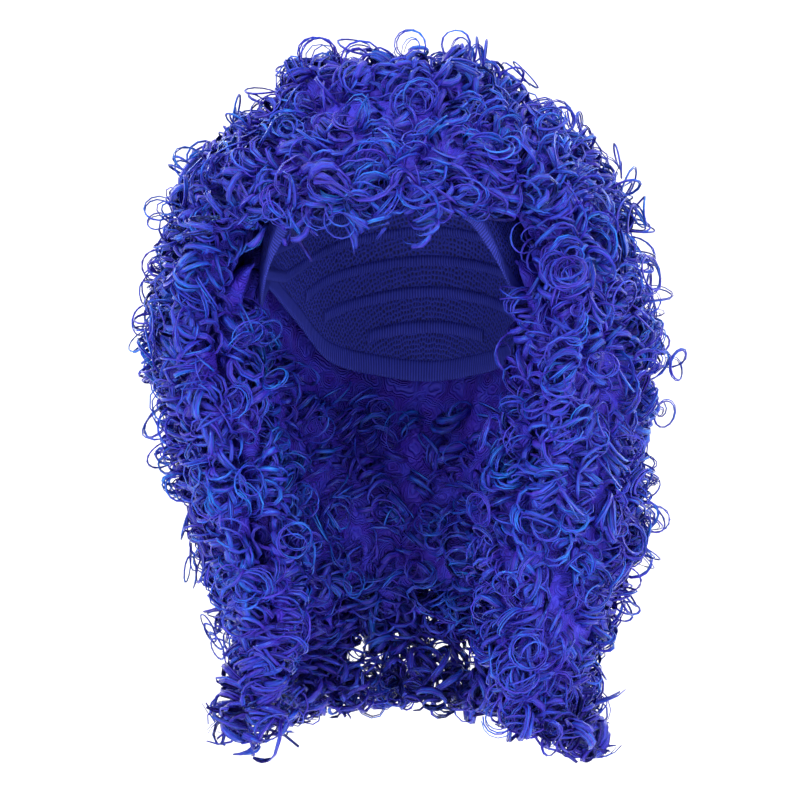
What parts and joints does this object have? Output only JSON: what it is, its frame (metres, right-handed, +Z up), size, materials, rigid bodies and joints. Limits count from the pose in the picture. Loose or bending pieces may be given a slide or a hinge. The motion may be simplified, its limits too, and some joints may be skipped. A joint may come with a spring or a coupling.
{
  "type": "long curly wig",
  "caption": "Long curly wig: rows of thick blue locks sewn round an open stretch cap, with a fringe, open at the face.",
  "frame": {"origin": "inside of the cap at the crown, where it rests on the top of the head", "axes": "+Z up, the wearer's face looks along -Y, +X is the wearer's left"},
  "size_m": [0.2935, 0.2827, 0.3973],
  "materials": {
    "cap_netting": "knitted stretch net",
    "hair": "curled glossy synthetic fibre"
  },
  "bodies": {
    "root": {"cap": "cap_netting", "nape_locks": "hair", "left_under_locks": "hair", "right_under_locks": "hair", "left_side_locks": "hair", "right_side_locks": "hair", "back_left_locks": "hair", "back_right_locks": "hair", "fringe_locks": "hair", "crown_locks": "hair", "top_locks": "hair"}
  },
  "joints": []
}
